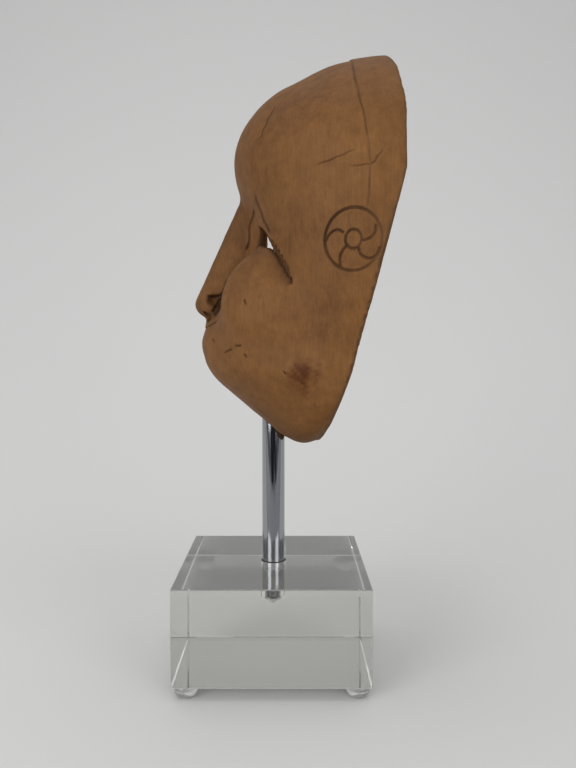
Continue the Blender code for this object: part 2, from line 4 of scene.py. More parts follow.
import bmesh
import bpy
import numpy as np
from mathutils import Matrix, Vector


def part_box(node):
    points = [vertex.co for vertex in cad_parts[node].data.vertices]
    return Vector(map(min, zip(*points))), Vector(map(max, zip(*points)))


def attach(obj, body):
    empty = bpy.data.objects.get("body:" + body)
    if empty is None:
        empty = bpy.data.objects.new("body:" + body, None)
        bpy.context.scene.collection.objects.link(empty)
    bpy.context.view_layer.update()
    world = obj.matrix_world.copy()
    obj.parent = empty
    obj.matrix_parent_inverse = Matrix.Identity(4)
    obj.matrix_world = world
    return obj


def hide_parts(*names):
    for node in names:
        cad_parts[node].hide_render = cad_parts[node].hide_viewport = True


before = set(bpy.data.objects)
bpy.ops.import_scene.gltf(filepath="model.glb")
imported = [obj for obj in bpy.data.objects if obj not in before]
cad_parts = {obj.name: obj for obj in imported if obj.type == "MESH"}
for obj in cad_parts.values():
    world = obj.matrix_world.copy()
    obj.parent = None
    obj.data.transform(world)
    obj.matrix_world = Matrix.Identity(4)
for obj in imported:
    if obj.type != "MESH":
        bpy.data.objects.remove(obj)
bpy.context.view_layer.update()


# The mask
# One piece of close-grained wood, carved with gouge and knife, hollowed from
# behind and left bare. Handling has rounded its edges. Its cuts are coloured dark,
# partly as dirt and partly as painted shade, and painted shade darkens its
# corners and the fold beside the nose.
# Its solid jaw sits on the rod. All carving sizes are in millimetres, measured
# back from the rod's axis and up from the mask's lowest point.

mask_low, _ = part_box("mask")
block_low, block_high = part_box("block")
MM = 0.001
AXIS_Y = (block_low.y + block_high.y) / 2
MASK_FOOT = mask_low.z

HEIGHT = 207.0
HALF_WIDTH = 74.0
WALL = 9.0

RIM_LOW = (39.2, 41.0)
RIM_HIGH = (62.4, 135.1)
CHIN_LEAN = math.radians(19)
CROWN_LEAN = math.radians(9)
CROWN_BEND = 178.0
RUN = math.hypot(RIM_HIGH[0] - RIM_LOW[0], RIM_HIGH[1] - RIM_LOW[1])
LEAN = math.atan2(RIM_HIGH[0] - RIM_LOW[0], RIM_HIGH[1] - RIM_LOW[1])
CROWN_STEP = 80.0
CHIN_STEP = 60.0
RIM_ROUND = 2.6
CROWN_ROUND = 3.0
HOLLOW_ROUND = 1.6
FLOOR_ROUND = 5.0
POCKET_ROUND = 3.0
POCKET_SOFT = 1.5
SLIT_ROUND = 1.0
NOSTRIL_ROUND = 0.8
SOCKET_ROUND = 0.5

PROFILE = [
    (63.5, 207.0), (45.2, 205.4), (28.9, 201.8), (11.0, 193.4), (-1.5, 186.9), (-11.2, 177.5),
    (-18.1, 167.1), (-21.4, 154.0), (-20.2, 143.6), (-17.6, 134.0), (-15.0, 122.0), (-13.8, 106.0),
    (-15.0, 88.0), (-25.0, 68.0), (-34.0, 55.0), (-35.2, 44.5), (-30.7, 36.1), (-23.6, 29.1),
    (-6.7, 13.9), (6.3, 3.6), (17.3, 0.0), (23.5, 1.6),
]
RIM_SHARES = [(0, 0.80), (6, 0.803), (22, 0.845), (44, 0.93), (64, 0.985), (82, 1.0), (94, 1.0)]

NOSE_ROOT = (-17.5, 135.0)
NOSE_TIP = (-45.1, 74.9)
NOSE_BASE = (-34.0, 66.5)
NOSE_TOP = 146.0
NOSE_ROUND = 6.0
NOSE_STANDS_OUT = 14.0
NOSE_HALF_WIDTHS = [
    (64, 8.0), (72, 10.5), (80, 11.5), (90, 9.0), (104, 7.4), (122, 6.6), (131, 8.5), (140, 17.0),
]

CHEEK = ((27.5, 8.0, 73.0), (26.5, 34.5, 33.5))
MUZZLE = ((0.0, 4.0, 57.0), (37.0, 42.2, 31.0))
UPPER_LIP = ((0.0, -25.4, 65.5), (15.0, 11.2, 5.8))
LOWER_LIP = ((0.0, -28.0, 55.0), (15.0, 10.4, 8.0))
NOSE_WING = ((9.3, -31.5, 76.5), (4.6, 7.5, 7.5))
SOCKET = ((25.0, -28.0, 110.0), (22.5, 21.5, 29.0))
WING_GROOVE = ((13.4, -30.8, 78.6), (3.4, 4.6, 3.4))
NOSTRIL = ((7.6, -35.0, 70.6), (4.2, 4.4, 3.6))

BLEND_FACE = 9.0
BLEND_EYE = 2.0
BLEND_NOSE = 2.0
BLEND_SOCKET = 2.5
BLEND_LIPS = 4.5
BLEND_FROM = 74.0
BLEND_TO = 92.0

LOWER_LID = [
    (14.0, 102.0), (20.0, 104.6), (27.0, 105.4), (35.0, 103.8), (41.0, 101.9), (44.4, 98.2), (48.6, 91.0),
    (52.0, 84.2), (54.2, 79.8),
]
UPPER_LID = [
    (14.0, 102.0), (17.5, 108.0), (24.0, 113.4), (31.0, 114.4), (38.1, 111.9), (42.6, 107.0), (47.4, 98.9),
    (51.7, 90.2), (54.2, 79.8),
]
RIGHT_EYE_LIFT = 9.5
EYE_WALL = 2.8
EYE_POCKET = ((38.0, 4.0, 101.0), (21.0, 21.0, 20.0))

MOUTH = [(-21.0, 67.0), (-14.0, 64.8), (0.0, 63.2), (14.0, 64.8), (21.0, 67.0)]

ROD_RADIUS = 6.35
ROD_IN_JAW = 30.3
ROD_PLAY = 0.35
SOCKET_PLAY = 0.08

FAR = 1e3
CURVE_STEPS = 900
EYE_STEPS = 25
EYE_AWAY = 6.0
EYE_SWELL = 0.8


def curve_through(points):
    """A smooth curve through a few (place, value) pairs, as a function of place."""
    places, values = np.array(sorted(points), float).T
    slopes = np.gradient(values, places)

    def curve(place):
        place = np.clip(place, places[0], places[-1])
        i = np.clip(np.searchsorted(places, place) - 1, 0, len(places) - 2)
        run = places[i + 1] - places[i]
        t = (place - places[i]) / run
        start = (1 + 2 * t) * (1 - t) ** 2 * values[i] + t * (1 - t) ** 2 * run * slopes[i]
        end = t * t * (3 - 2 * t) * values[i + 1] + t * t * (t - 1) * run * slopes[i + 1]
        return start + end

    return curve


def slice_of(y, z):
    """The slice across the mask that a point lies in, and how far the point is before the rim."""
    y, z = y - RIM_LOW[0], z - RIM_LOW[1]
    along = y * math.sin(LEAN) + z * math.cos(LEAN)
    forward = z * math.sin(LEAN) - y * math.cos(LEAN)
    above, below = np.maximum(along - RUN, 0), np.maximum(-along, 0)
    fan = CROWN_STEP * np.arctan2(above, forward) - CHIN_STEP * np.arctan2(below, forward)
    return np.clip(along, 0, RUN) + fan, np.hypot(forward, above + below)


def profile_reach():
    """How far the middle line stands before the rim, as a function of the slice."""
    y, z = np.array(PROFILE).T
    length = np.concatenate([[0], np.cumsum(np.hypot(np.diff(y), np.diff(z)))])
    fine = np.linspace(0, length[-1], CURVE_STEPS)
    s, forward = slice_of(curve_through(zip(length, y))(fine), curve_through(zip(length, z))(fine))
    order = np.argsort(s)
    return lambda place: np.interp(place, s[order], forward[order])


reach = profile_reach()
rim_share = curve_through(RIM_SHARES)
nose_half_width = curve_through(NOSE_HALF_WIDTHS)


def half_width(s):
    """Half the mask's width where a slice meets the rim."""
    return HALF_WIDTH * rim_share(s)


def round_form(form, x, y, z):
    """Distance to a rounded form, below zero inside it. Both sides of the face are alike."""
    centre, radii = form
    offsets = (np.abs(x) - centre[0], y - centre[1], z - centre[2])
    near = np.sqrt(sum((o / r) ** 2 for o, r in zip(offsets, radii)))
    steep = np.sqrt(sum((o / r ** 2) ** 2 for o, r in zip(offsets, radii)))
    return near * (near - 1) / np.maximum(steep, 1e-9)


def joined(a, b, soft):
    """Two forms run into one, softly over the given distance."""
    mix = np.clip(0.5 + 0.5 * (b - a) / soft, 0, 1)
    return b + (a - b) * mix - soft * mix * (1 - mix)


def hollowed(a, b, soft):
    """The first form with the second taken out of it."""
    return -joined(-a, b, soft)


def nose_form(x, y, z):
    """Distance to the nose: a rounded wedge with a flat underside."""
    rise = math.hypot(NOSE_TIP[0] - NOSE_ROOT[0], NOSE_ROOT[1] - NOSE_TIP[1])
    lean = (NOSE_ROOT[0] - NOSE_TIP[0]) / rise
    upright = (NOSE_ROOT[1] - NOSE_TIP[1]) / rise
    before_ridge = (z - NOSE_TIP[1]) * lean - (y - NOSE_TIP[0]) * upright
    under = math.hypot(NOSE_BASE[0] - NOSE_TIP[0], NOSE_TIP[1] - NOSE_BASE[1])
    slope = (NOSE_TIP[1] - NOSE_BASE[1]) / under
    flat = (NOSE_BASE[0] - NOSE_TIP[0]) / under
    below = (NOSE_TIP[1] - z) * flat - (y - NOSE_TIP[0]) * slope
    depth = joined(-before_ridge, np.minimum(-below, NOSE_TOP - z), NOSE_ROUND)
    across = np.abs(x) / nose_half_width(z)
    inward = np.clip(1 - depth / NOSE_STANDS_OUT, 0, None)
    return (np.hypot(across, inward) - 1) * nose_half_width(z)


def outer_form(x, y, z):
    """Distance to the carved outer form of the mask."""
    s, forward = slice_of(y, z)
    across, before = x / half_width(s), forward / reach(s)
    near = np.hypot(across, before)
    steep = np.hypot(across / half_width(s), before / reach(s))
    head = near * (near - 1) / np.maximum(steep, 1e-9)
    head = hollowed(head, round_form(SOCKET, x, y, z), BLEND_SOCKET)
    share = np.clip((z - BLEND_FROM) / (BLEND_TO - BLEND_FROM), 0, 1)
    soft = BLEND_FACE + (BLEND_EYE - BLEND_FACE) * share
    lower = joined(round_form(CHEEK, x, y, z), round_form(MUZZLE, x, y, z), BLEND_FACE)
    face = joined(head, lower, soft)
    lips = joined(round_form(UPPER_LIP, x, y, z), round_form(LOWER_LIP, x, y, z), BLEND_NOSE)
    face = joined(face, lips, BLEND_LIPS)
    nose = joined(nose_form(x, y, z), round_form(NOSE_WING, x, y, z), BLEND_NOSE)
    nose = hollowed(nose, round_form(WING_GROOVE, x, y, z), BLEND_NOSE)
    return joined(face, nose, BLEND_NOSE)


def round_off(a, b, soft):
    """The part that both forms share, its edge rounded."""
    return -joined(-a, -b, soft)


def behind_rim(y, z):
    """Distance behind the rim, which is cut straight in four runs."""
    crown = (y - RIM_HIGH[0]) * math.cos(CROWN_LEAN) + (z - CROWN_BEND) * math.sin(CROWN_LEAN)
    y, z = y - RIM_LOW[0], z - RIM_LOW[1]
    chin = y * math.cos(CHIN_LEAN) - z * math.sin(CHIN_LEAN)
    side = y * math.cos(LEAN) - z * math.sin(LEAN)
    upright = round_off(y - (RIM_HIGH[0] - RIM_LOW[0]), crown, CROWN_ROUND)
    return np.maximum(np.maximum(chin, side), upright)


# The hollow is gouged from behind in long strokes that follow the grain
STROKE_WIDTH = 13.0
STROKE_LENGTH = 34.0
STROKE_DEPTH = 0.7


def hollow_form(x, y, z):
    """Distance to the gouged hollow, with its floor above the solid jaw."""
    s, forward = slice_of(y, z)
    wide, deep = half_width(s) - WALL, reach(s) - WALL
    across, before = x / wide, forward / deep
    near = np.hypot(across, before)
    steep = np.hypot(across / wide, before / deep)
    side = near * (near - 1) / np.maximum(steep, 1e-9)
    turn = np.arctan2(across, before) * (wide + deep) / 2
    row = np.floor(turn / STROKE_WIDTH)
    stroke = np.abs(np.sin(math.pi * turn / STROKE_WIDTH))
    end = np.abs(np.sin(math.pi * (s / STROKE_LENGTH + 0.37 * row)))
    side = side - STROKE_DEPTH * stroke * end ** 0.4
    floor_wide, floor_deep = half_width(0.0) - WALL, reach(0.0) - WALL
    share = np.sqrt(np.clip(1 - (x / floor_wide) ** 2, 0, 1))
    floor = RIM_LOW[1] + floor_deep * share * math.sin(LEAN)
    return -joined(-side, z - floor, FLOOR_ROUND)


def near_line(y, z, line):
    """Distance to a line of points in the side view, and how far along the line that place is."""
    line = np.array(line)
    best, where = np.full(np.shape(y), FAR), np.zeros(np.shape(y))
    length = np.concatenate([[0], np.cumsum(np.linalg.norm(np.diff(line, axis=0), axis=1))])
    for k, (a, b) in enumerate(zip(line, line[1:])):
        run = b - a
        t = np.clip(((y - a[0]) * run[0] + (z - a[1]) * run[1]) / (run @ run), 0, 1)
        away = np.hypot(y - a[0] - t * run[0], z - a[1] - t * run[1])
        where = np.where(away < best, length[k] + t * (length[k + 1] - length[k]), where)
        best = np.minimum(best, away)
    return best, where / length[-1]


def eye_lines():
    """The slit's outline on each side of the face. The right slit is the taller."""
    inner, outer = LOWER_LID[0][0], LOWER_LID[-1][0]
    across = np.linspace(inner, outer, EYE_STEPS)
    lower, upper = curve_through(LOWER_LID)(across), curve_through(UPPER_LID)(across)
    swell = np.sin(math.pi * ((across - inner) / (outer - inner)) ** EYE_SWELL)
    return across, lower, upper, upper + RIGHT_EYE_LIFT * swell


LID_PLACES, LOWER_EDGE, UPPER_EDGE_LEFT, UPPER_EDGE_RIGHT = eye_lines()


def eye_form(x, z):
    """Distance to the slit between the lids in the front view, or the longest distance far from it."""
    place = np.abs(x)
    away = np.full(np.shape(place), EYE_AWAY)
    close = (place > LID_PLACES[0] - EYE_AWAY) & (place < LID_PLACES[-1] + EYE_AWAY)
    close &= (z > LOWER_EDGE.min() - EYE_AWAY) & (z < UPPER_EDGE_RIGHT.max() + EYE_AWAY)
    for side, top in ((x > 0, UPPER_EDGE_LEFT), (x <= 0, UPPER_EDGE_RIGHT)):
        here = close & side
        line = list(zip(LID_PLACES, top)) + list(zip(LID_PLACES, LOWER_EDGE))[-2::-1]
        gap, _ = near_line(place[here], z[here], line)
        over = np.interp(place[here], LID_PLACES, LOWER_EDGE)
        under = np.interp(place[here], LID_PLACES, top)
        opened = (z[here] > over) & (z[here] < under)
        opened &= (place[here] > LID_PLACES[0]) & (place[here] < LID_PLACES[-1])
        away[here] = np.minimum(np.where(opened, -gap, gap), EYE_AWAY)
    return away


def carved_form(x, y, z):
    """Distance to the whole mask without its fine lines."""
    form = round_off(outer_form(x, y, z), behind_rim(y, z), RIM_ROUND)
    form = hollowed(form, hollow_form(x, y, z), HOLLOW_ROUND)
    pocket = round_off(outer_form(x, y, z) + EYE_WALL, round_form(EYE_POCKET, x, y, z), POCKET_ROUND)
    form = hollowed(form, pocket, POCKET_SOFT)
    form = hollowed(form, eye_form(x, z), SLIT_ROUND)
    form = hollowed(form, round_form(NOSTRIL, x, y, z), NOSTRIL_ROUND)
    socket = np.maximum(np.hypot(x, y) - ROD_RADIUS - SOCKET_PLAY, z - ROD_IN_JAW)
    return hollowed(form, socket, SOCKET_ROUND)


# Lines cut or worn into the surface, as places behind the axis and above the tip in the side view
RING_CENTRE = (38.3, 102.9)
RING_WIDE, RING_HIGH = 12.9, 14.2
EYE_WIDE, EYE_HIGH = 3.6, 4.3
ARMS = [
    [(25.7, 102.4), (27.3, 105.2), (29.5, 107.0), (31.5, 107.3), (33.6, 106.2)],
    [(35.6, 100.4), (33.6, 98.0), (32.5, 95.6), (32.3, 93.0), (32.8, 90.2)],
    [(40.6, 98.9), (41.4, 96.4), (43.6, 94.6), (46.3, 94.1), (48.6, 95.3), (50.2, 98.8)],
    [(42.0, 102.0), (44.4, 102.6), (46.6, 103.8), (48.0, 106.0), (48.3, 108.8)],
    [(37.6, 107.2), (36.0, 110.0), (36.4, 113.6), (38.6, 116.8)],
]
ARM_DEPTHS = [0.75, 0.85, 0.85, 0.8, 0.12]
RING_DEPTH, RING_CUT = 1.0, 0.85
RING_EYE_DEPTH, RING_EYE_CUT = 0.9, 0.75
ARM_DEEPENED, ARM_CUT = 1.15, 0.8
HAIR_DEPTH, HAIR_CUT = 0.4, 0.75
CRACK_DEPTH, CRACK_WIDE = 0.45, 0.6
NICK_DEPTH, NICK_WIDE = 0.5, 0.75
MOUTH_DEPTH, MOUTH_CUT = 0.9, 0.7
TEMPLE_FROM = 50.0
HAIR_EDGE = [
    (44.6, 117.0), (45.2, 128.0), (45.4, 138.0), (44.5, 147.0), (42.7, 162.0), (41.2, 170.0),
    (40.2, 180.0), (40.0, 200.0), (40.0, 215.0),
]
HAIR_STANDS_OUT = 0.55
CRACKS_LEFT = [
    [(2.2, 173.3), (0.4, 169.0), (-1.8, 165.0), (-3.6, 161.0), (-5.2, 157.0), (-8.2, 155.2)],
    [(20.7, 137.5), (24.0, 138.4), (27.6, 139.2), (30.4, 140.4), (33.4, 141.2), (36.0, 142.6), (38.9, 143.3)],
    [(36.2, 136.0), (40.0, 135.8), (43.2, 136.2), (46.0, 136.5), (47.4, 137.6), (48.5, 139.2), (51.5, 142.8)],
]
CRACKS_RIGHT = [
    [(8.0, 181.0), (6.6, 176.0), (3.6, 170.5), (2.0, 165.0)],
    [(12.0, 40.0), (17.0, 47.0), (24.0, 52.5), (33.0, 61.0)],
]
NICKS = [
    [(-13.3, 76.4), (-12.6, 74.6)],
    [(-31.6, 57.2), (-30.6, 55.9)],
    [(-24.2, 50.4), (-22.4, 51.3), (-20.6, 52.0)],
    [(-17.9, 53.8), (-15.6, 54.0)],
    [(-13.4, 49.4), (-12.6, 48.4)],
    [(6.2, 41.2), (6.9, 40.3)],
]

# Cuts about the eye and nose: places, depth, width, and the distances from the middle it lies between. They
# are shallow, and their dark colour is painted shade along the brow's edge, beside the nose and round its
# wing.
FACE_CUTS = [
    (
        [(-8.6, 131.0), (-7.2, 126.0), (-5.3, 121.5), (-4.0, 117.2), (-2.2, 113.4), (-0.4, 109.1)],
        0.5, 0.8, 28, 50,
    ),
    ([(-8.5, 127.0), (-10.4, 122.5), (-12.2, 119.3), (-13.0, 110.2), (-14.7, 105.4)], 0.5, 0.9, 5, 24),
    ([(-36.0, 81.2), (-32.6, 80.4), (-29.3, 80.8), (-26.6, 82.4)], 0.9, 0.9, 5, 18),
    ([(-28.0, 79.4), (-29.6, 76.2), (-32.2, 71.6)], 0.9, 1.7, 5, 18),
]

# The fold between nose and cheek, darkened with painted shade
FOLD = [
    (-31.0, 71.0), (-29.4, 73.2), (-28.3, 78.1), (-26.7, 82.6), (-24.0, 89.2), (-20.6, 93.4),
    (-17.2, 97.0), (-12.8, 99.7),
]


def smooth_line(points, steps=8):
    """The same line with more points, laid on a smooth curve."""
    points = np.array(points, float)
    length = np.concatenate([[0], np.cumsum(np.linalg.norm(np.diff(points, axis=0), axis=1))])
    fine = np.linspace(0, length[-1], steps * (len(points) - 1) + 1)
    return np.stack([curve_through(zip(length, points[:, i]))(fine) for i in (0, 1)], axis=-1)


def trough(away, width):
    """A cut with sloping sides and a rounded bottom: 1 along its middle, 0 outside it."""
    return np.clip(1 - (away / width) ** 2, 0, 1) ** 1.5


def unevenness(x, y, z, size, seed):
    """Gentle random rises and falls of about one, a given size across."""
    rng = np.random.default_rng(seed)
    total = 0
    for _ in range(7):
        way = rng.normal(size=3)
        way *= 2 * math.pi / (size * rng.uniform(0.7, 1.5) * np.linalg.norm(way))
        total = total + np.sin(way[0] * x + way[1] * y + way[2] * z + rng.uniform(0, 2 * math.pi))
    return total / 2.6


def from_oval(y, z, wide, high):
    """Distance from an oval about the rosette's middle, below nought inside it."""
    return (np.hypot((y - RING_CENTRE[0]) / wide, (z - RING_CENTRE[1]) / high) - 1) * wide


def fine_lines(x, y, z):
    """Depth of every cut, nick and crack, and the height of the raised band."""
    wear = unevenness(x, y, z, 14, 5)
    on_temple = np.abs(x) > TEMPLE_FROM
    left = x > 0
    turn = np.arctan2((z - RING_CENTRE[1]) / RING_HIGH, (y - RING_CENTRE[0]) / RING_WIDE)
    ring = from_oval(y, z, RING_WIDE, RING_HIGH)
    eye = from_oval(y, z, EYE_WIDE, EYE_HIGH)
    worn_ring = np.clip(0.7 + 0.45 * np.cos(turn - math.radians(165)) + 0.15 * wear, 0.3, 1)
    worn_eye = np.clip(0.8 + 0.3 * np.cos(turn - math.radians(150)), 0.2, 1)
    cut = RING_DEPTH * worn_ring * trough(np.abs(ring), RING_CUT)
    cut = np.maximum(cut, RING_EYE_DEPTH * worn_eye * trough(np.abs(eye), RING_EYE_CUT))
    for arm, depth in zip(ARMS, ARM_DEPTHS):
        away, _ = near_line(y, z, smooth_line(arm))
        cut = np.maximum(cut, ARM_DEEPENED * depth * np.clip(0.9 + 0.2 * wear, 0, 1) * trough(away, ARM_CUT))
    cut = np.where(on_temple, cut, 0)

    edge = curve_through([(height, place) for place, height in HAIR_EDGE])(z)
    past = y - edge + 0.25 * wear
    above_ring = np.clip((z - RING_CENTRE[1] - RING_HIGH - 0.5) / 1.5, 0, 1)
    higher = np.clip((z - 150) / 30 + 0.3, 0.3, 1)
    band = HAIR_STANDS_OUT * above_ring * np.clip(past / 1.2 + 0.5, 0, 1) * higher
    worn_edge = np.clip(0.75 + 0.35 * wear, 0.35, 1)
    cut = np.maximum(cut, HAIR_DEPTH * worn_edge * above_ring * trough(np.abs(past), HAIR_CUT))

    crack = np.zeros_like(cut)
    for lines, side in ((CRACKS_LEFT, left), (CRACKS_RIGHT, ~left)):
        for line in lines:
            away, along = near_line(y + 0.25 * unevenness(x, y, z, 4, 9), z, line)
            taper = np.clip(4 * along * (1 - along) + 0.15, 0, 1)
            crack = np.maximum(crack, np.where(side, CRACK_DEPTH * taper * trough(away, CRACK_WIDE), 0))
    for line in NICKS:
        away, _ = near_line(y, z, line)
        crack = np.maximum(crack, np.where(left, NICK_DEPTH * trough(away, NICK_WIDE), 0))
    for line, depth, width, inner, outer in FACE_CUTS:
        away, along = near_line(y, z, smooth_line(line))
        ends = np.clip(4 * np.sin(math.pi * along), 0, 1) * ((np.abs(x) > inner) & (np.abs(x) < outer))
        cut = np.maximum(cut, depth * ends * trough(away, width))
    line = smooth_line(MOUTH)
    away, along = near_line(x, z, line)
    before = np.clip((-y - 12) / 6, 0, 1)
    mouth = MOUTH_DEPTH * before * np.clip(6 * np.sin(math.pi * along), 0, 1) * trough(away, MOUTH_CUT)
    return np.maximum(np.maximum(cut, crack), mouth), band


def on_outside(x, y, z):
    """1 on the carved outer surface and 0 in the hollow, in the slits and on the rim."""
    return np.clip(1 - np.abs(outer_form(x, y, z)) / 1.5, 0, 1)


def whole_form(x, y, z):
    """Distance to the finished surface with its lines, knife facets and wear."""
    form = carved_form(x, y, z)
    cut, band = fine_lines(x, y, z)
    outside = np.clip(1.6 - np.abs(outer_form(x, y, z)) / 1.5, 0, 1)
    hand = 0.16 * unevenness(x, y, z, 26, 1) + 0.05 * unevenness(x, y, z, 9, 2)
    return form + outside * (cut - band) + hand * (0.3 + 0.7 * outside)


NET_PITCH = 1.5
FINE_BAND = 2.6
FINEST_BAND = 1.4


def net_over(form, low, high, pitch):
    """Corners and four-sided faces of a net drawn over the place where the distance is nought."""
    axes = [np.arange(a, b + pitch, pitch) for a, b in zip(low, high)]
    field = form(*np.meshgrid(*axes, indexing="ij"))
    shape = np.array(field.shape) - 1
    count = np.zeros(shape)
    total = np.zeros((*shape, 3))
    quads = []
    for axis in range(3):
        order = [axis] + [a for a in range(3) if a != axis]
        turned = np.transpose(field, order)
        a, b = turned[:-1], turned[1:]
        i, j, k = np.nonzero((a < 0) != (b < 0))
        near, far = a[i, j, k], b[i, j, k]
        place = np.empty((len(i), 3))
        place[:, order] = np.stack([i + near / (near - far), j, k], axis=-1)
        corners = []
        for dj, dk in ((-1, -1), (0, -1), (0, 0), (-1, 0)):
            cell = np.empty((len(i), 3), int)
            cell[:, order] = np.stack([i, j + dj, k + dk], axis=-1)
            flat = np.ravel_multi_index(cell.T, shape)
            np.add.at(count.reshape(-1), flat, 1)
            np.add.at(total.reshape(-1, 3), flat, place)
            corners.append(flat)
        faces = np.stack(corners, axis=-1)
        flip = (near < 0) == (axis == 1)
        faces[flip] = faces[flip][:, ::-1]
        quads.append(faces)
    used = np.flatnonzero(count.reshape(-1))
    number = np.full(count.size, -1)
    number[used] = np.arange(len(used))
    points = total.reshape(-1, 3)[used] / count.reshape(-1)[used, None] * pitch + np.array(low)
    return points, number[np.concatenate(quads)]


def surface_way(form, points, step=0.12):
    """Distance and the way out of the form at each point, from how the distance grows."""
    here = form(*points.T)
    grown = []
    for axis in np.eye(3):
        there = points + step * axis
        grown.append((form(*there.T) - here) / step)
    return here, np.stack(grown, axis=-1)


def drawn_to(form, points, rounds=3, longest=1.0):
    """The points moved along the way out until they lie on the form."""
    for _ in range(rounds):
        away, way = surface_way(form, points)
        move = -(away / np.maximum((way ** 2).sum(axis=1), 0.05))[:, None] * way
        far = np.linalg.norm(move, axis=1)[:, None]
        moved = points + move * np.minimum(1, longest / np.maximum(far, 1e-9))
        better = np.abs(form(*moved.T)) < np.abs(away)
        points = np.where(better[:, None], moved, points)
    return points


def evened(points, quads, form, rounds=3):
    """The net's points spread evenly over the surface."""
    ends = np.concatenate([quads[:, [k, (k + 1) % 4]] for k in range(4)])
    for _ in range(rounds):
        total = np.zeros_like(points)
        count = np.bincount(ends[:, 0], minlength=len(points))
        for i in range(3):
            total[:, i] = np.bincount(ends[:, 0], points[ends[:, 1], i], len(points))
        toward = total / count[:, None] - points
        _, way = surface_way(form, points)
        way /= np.maximum(np.linalg.norm(way, axis=1), 1e-9)[:, None]
        toward -= (toward * way).sum(axis=1)[:, None] * way
        points = drawn_to(form, points + 0.6 * toward, rounds=1)
    return points


def line_nearness(points):
    """How near each point is to the closest line that needs a fine net."""
    x, y, z = points.T
    left = x > 0
    edge = curve_through([(height, place) for place, height in HAIR_EDGE])(z)
    near = np.where(z > RING_CENTRE[1] + RING_HIGH, np.abs(y - edge), FAR)
    ring = np.abs(from_oval(y, z, RING_WIDE, RING_HIGH))
    temple = np.minimum(ring, np.abs(from_oval(y, z, EYE_WIDE, EYE_HIGH)))
    for arm in ARMS:
        temple = np.minimum(temple, near_line(y, z, smooth_line(arm))[0])
    near = np.minimum(near, np.where(np.abs(x) > TEMPLE_FROM, temple, FAR))
    for line in CRACKS_LEFT + NICKS:
        near = np.minimum(near, np.where(left, near_line(y, z, line)[0] + 0.4, FAR))
    for line in CRACKS_RIGHT:
        near = np.minimum(near, np.where(left, FAR, near_line(y, z, line)[0] + 0.4))
    for line, _, _, inner, outer in FACE_CUTS:
        reached = (np.abs(x) > inner) & (np.abs(x) < outer)
        near = np.minimum(near, np.where(reached, near_line(y, z, smooth_line(line))[0], FAR))
    mouth = np.where(y < -12, near_line(x, z, smooth_line(MOUTH))[0], FAR)
    near = np.where(np.abs(outer_form(x, y, z)) < 1.5, np.minimum(near, mouth), FAR)
    nostril = np.abs(round_form(NOSTRIL, x, y, z))
    return np.minimum(near, nostril)


def carve_mask():
    """The mask's mesh: an even net, made finer along the cut lines and drawn onto the form."""
    low = (-HALF_WIDTH - 4, -52.0, -4.0)
    high = (HALF_WIDTH + 4, 66.0, HEIGHT + 5)
    points, quads = net_over(carved_form, low, high, NET_PITCH)
    points = evened(drawn_to(carved_form, points), quads, carved_form)
    mesh = bpy.data.meshes.new("carved_mask")
    mesh.from_pydata(points.tolist(), [], quads.tolist())
    bm = bmesh.new()
    bm.from_mesh(mesh)
    for band in (FINE_BAND, FINEST_BAND):
        bm.verts.ensure_lookup_table()
        near = line_nearness(np.array([v.co for v in bm.verts]))
        edges = [e for e in bm.edges if near[e.verts[0].index] < band or near[e.verts[1].index] < band]
        bmesh.ops.subdivide_edges(bm, edges=edges, cuts=1, use_grid_fill=True)
        bm.verts.index_update()
    bm.to_mesh(mesh)
    bm.free()
    points = np.empty(len(mesh.vertices) * 3)
    mesh.vertices.foreach_get("co", points)
    points = drawn_to(whole_form, drawn_to(carved_form, points.reshape(-1, 3)), longest=0.5)
    return mesh, points


mask_mesh, mask_points = carve_mask()
cuts, _ = fine_lines(*mask_points.T)
outside = on_outside(*mask_points.T)
_, way_out = surface_way(carved_form, mask_points)
way_out /= np.maximum(np.linalg.norm(way_out, axis=1), 1e-9)[:, None]


def shade_of(points, reach_out):
    """How closed in a place is: 0 on an open surface, 1 in a tight corner."""
    clear = carved_form(*(points + way_out * reach_out).T) / reach_out
    return np.clip(1 - clear, 0, 1)


def keep_shade(mesh, name, values):
    """A value at each point of the mesh for the material to read."""
    layer = mesh.attributes.new(name, "FLOAT", "POINT")
    layer.data.foreach_set("value", np.asarray(values, np.float32))


# Painted shade along the fold between nose and cheek
FOLD_WIDE = 1.1
FOLD_OUT, FOLD_REACH = 11.5, 7.5
fold_shade, _ = near_line(mask_points[:, 1], mask_points[:, 2], smooth_line(FOLD))
beside_nose = np.abs(np.abs(mask_points[:, 0]) - FOLD_OUT) < FOLD_REACH
fold_shade = 0.9 * np.clip(1.5 - fold_shade / FOLD_WIDE, 0, 1) * beside_nose
# The cuts are darkened partly as dirt and partly as painted shade; the fold beside the nose is painted shade
keep_shade(mask_mesh, "cut", np.maximum(np.clip(cuts * outside * 1.7, 0, 1), fold_shade * outside))
# Painted shade: the wood is darker wherever the surface is closed in, in corners and recesses
CORNER_SHADE_REACH = 5.0
keep_shade(mask_mesh, "corner", np.clip(shade_of(mask_points, CORNER_SHADE_REACH) * 1.3, 0, 1))
keep_shade(mask_mesh, "inside", 1 - outside)

# A dark stain with a ragged edge on the left of the jaw
STAIN_PLACE = (15.5, 39.5)
STAIN_WIDE, STAIN_HIGH = 6.5, 8.0
stain = np.hypot(
    (mask_points[:, 1] - STAIN_PLACE[0]) / STAIN_WIDE, (mask_points[:, 2] - STAIN_PLACE[1]) / STAIN_HIGH,
)
stain = stain - 0.3 * unevenness(*mask_points.T, 5.0, 11) - 0.2 * unevenness(*mask_points.T, 2.6, 12)
stain = np.clip(1.25 - stain, 0, 1) * (mask_points[:, 0] > 20)
keep_shade(mask_mesh, "stain", stain)

placed = mask_points * MM + np.array([0, AXIS_Y, MASK_FOOT])
mask_mesh.vertices.foreach_set("co", placed.reshape(-1))
mask_mesh.update()
mask_mesh.shade_smooth()
carved_mask = bpy.data.objects.new("carved_mask", mask_mesh)
bpy.context.scene.collection.objects.link(carved_mask)


